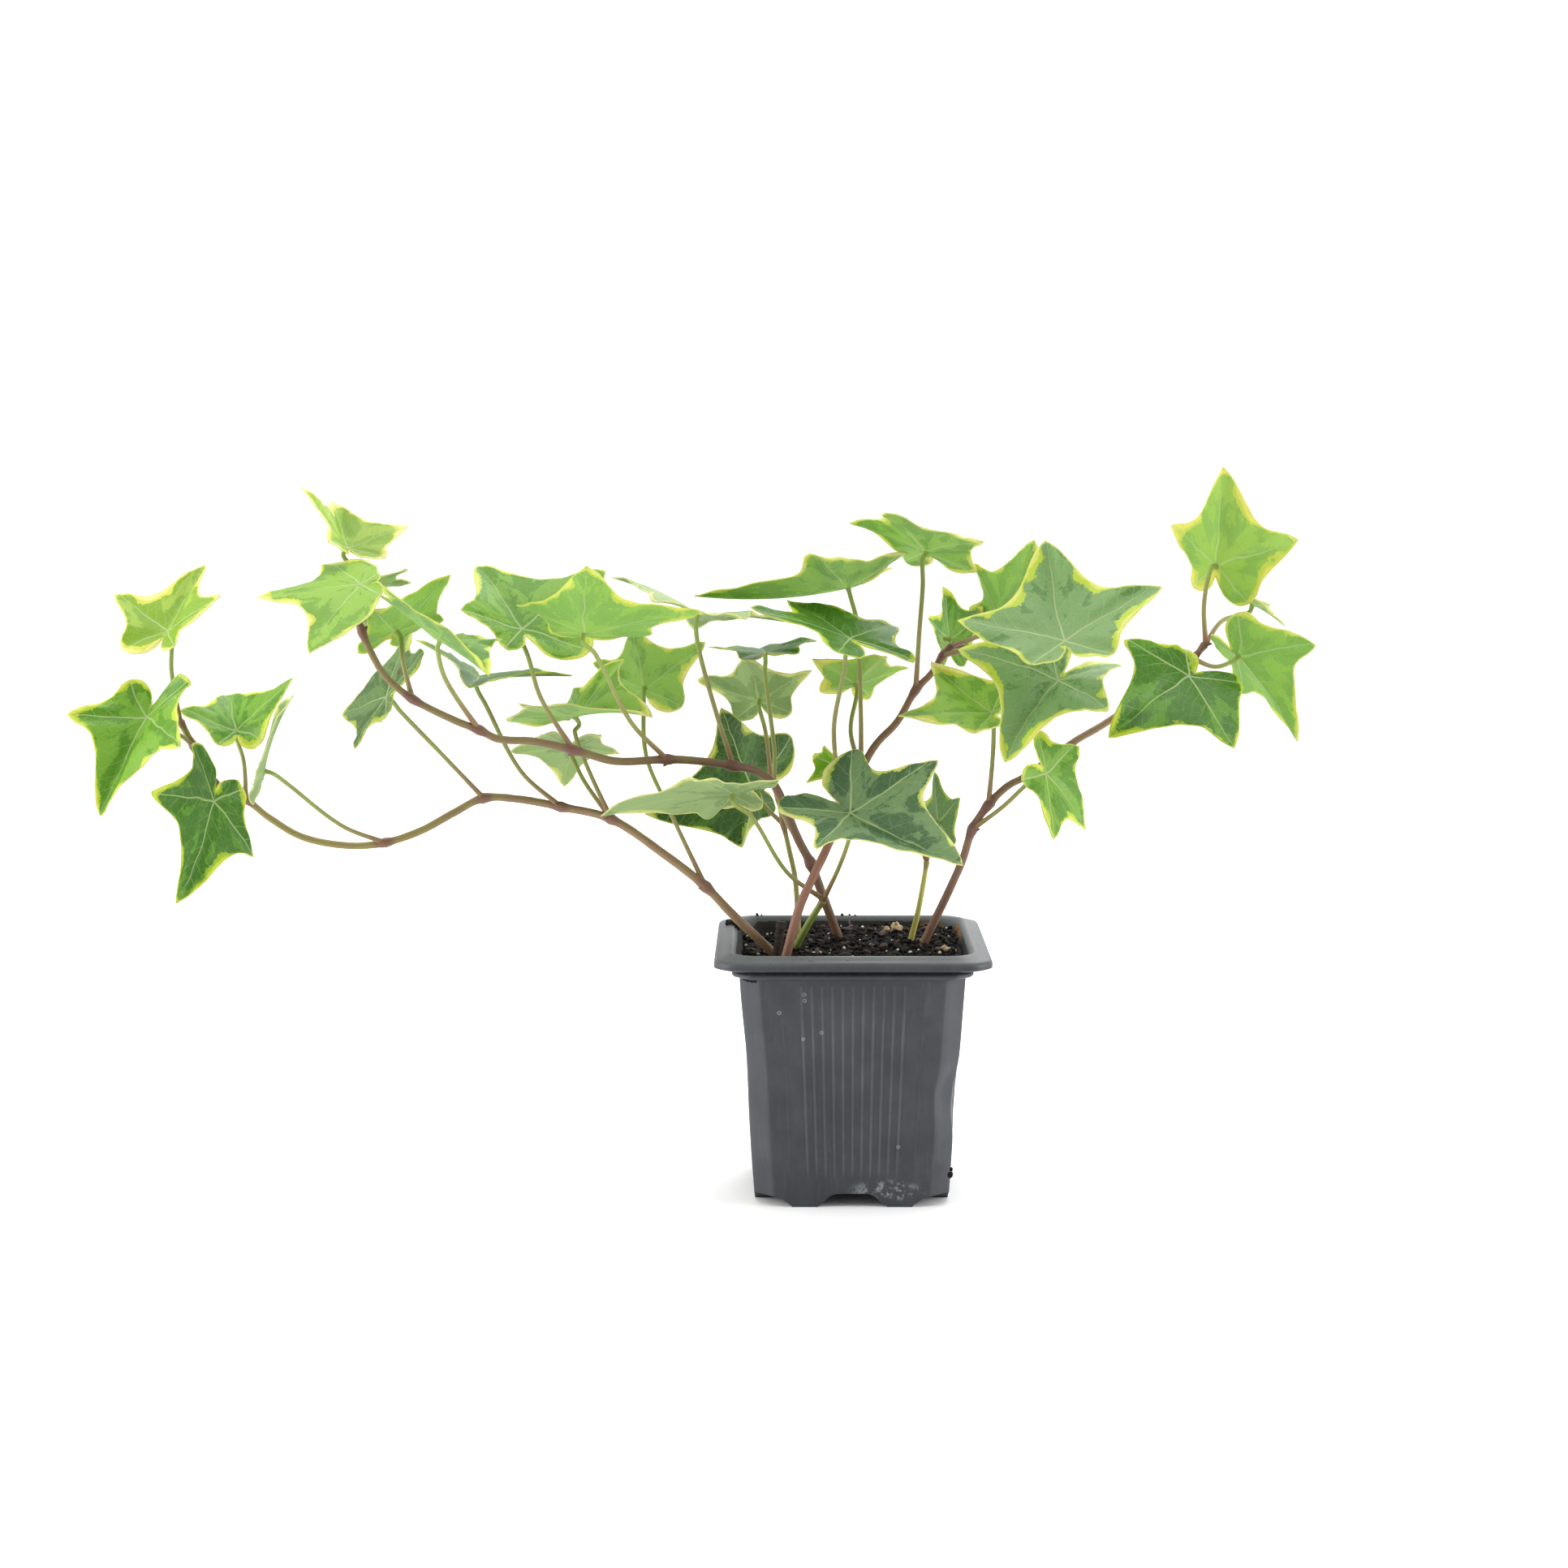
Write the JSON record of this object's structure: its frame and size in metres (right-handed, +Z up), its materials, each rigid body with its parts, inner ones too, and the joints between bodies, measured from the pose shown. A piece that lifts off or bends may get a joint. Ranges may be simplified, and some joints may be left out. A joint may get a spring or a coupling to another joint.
{
  "type": "potted ivy",
  "caption": "Variegated ivy with trailing stems and lobed, cream-edged leaves, growing in a small square plastic nursery pot filled with potting soil.",
  "frame": {"origin": "centre of the middle pad under the pot, on the surface that the pot stands on", "axes": "+Z up; +X to the right along the plant's longest spread; -Y is the front"},
  "size_m": [0.3977, 0.1486, 0.2363],
  "materials": {
    "pot_plastic": "dark grey moulded plastic, slightly dusty, with dried water spots",
    "potting_soil": null,
    "ivy_stem": "brown to olive young bark",
    "ivy_leaf": null
  },
  "bodies": {
    "root": {"leaf_green_1": "ivy_leaf", "leaf_green_2": "ivy_leaf", "leaf_high_left_1": "ivy_leaf", "leaf_high_left_10": "ivy_leaf", "leaf_high_left_2": "ivy_leaf", "leaf_high_left_3": "ivy_leaf", "leaf_high_left_4": "ivy_leaf", "leaf_high_left_5": "ivy_leaf", "leaf_high_left_6": "ivy_leaf", "leaf_high_left_7": "ivy_leaf", "leaf_high_left_8": "ivy_leaf", "leaf_high_left_9": "ivy_leaf", "leaf_low_left_1": "ivy_leaf", "leaf_low_left_10": "ivy_leaf", "leaf_low_left_2": "ivy_leaf", "leaf_low_left_3": "ivy_leaf", "leaf_low_left_4": "ivy_leaf", "leaf_low_left_5": "ivy_leaf", "leaf_low_left_6": "ivy_leaf", "leaf_low_left_7": "ivy_leaf", "leaf_low_left_8": "ivy_leaf", "leaf_low_left_9": "ivy_leaf", "leaf_middle_1": "ivy_leaf", "leaf_middle_2": "ivy_leaf", "leaf_middle_3": "ivy_leaf", "leaf_middle_4": "ivy_leaf", "leaf_middle_5": "ivy_leaf", "leaf_middle_6": "ivy_leaf", "leaf_middle_7": "ivy_leaf", "leaf_middle_8": "ivy_leaf", "leaf_middle_9": "ivy_leaf", "leaf_rear_1": "ivy_leaf", "leaf_rear_2": "ivy_leaf", "leaf_right_1": "ivy_leaf", "leaf_right_2": "ivy_leaf", "leaf_right_3": "ivy_leaf", "leaf_right_4": "ivy_leaf", "leaf_right_5": "ivy_leaf", "leaf_right_6": "ivy_leaf", "leaf_stub_1": "ivy_leaf", "pot": "pot_plastic", "potting_soil": "potting_soil", "stem_green": "ivy_stem", "stem_high_left": "ivy_stem", "stem_low_left": "ivy_stem", "stem_middle": "ivy_stem", "stem_rear": "ivy_stem", "stem_right": "ivy_stem", "stem_stub": "ivy_stem"}
  },
  "joints": []
}
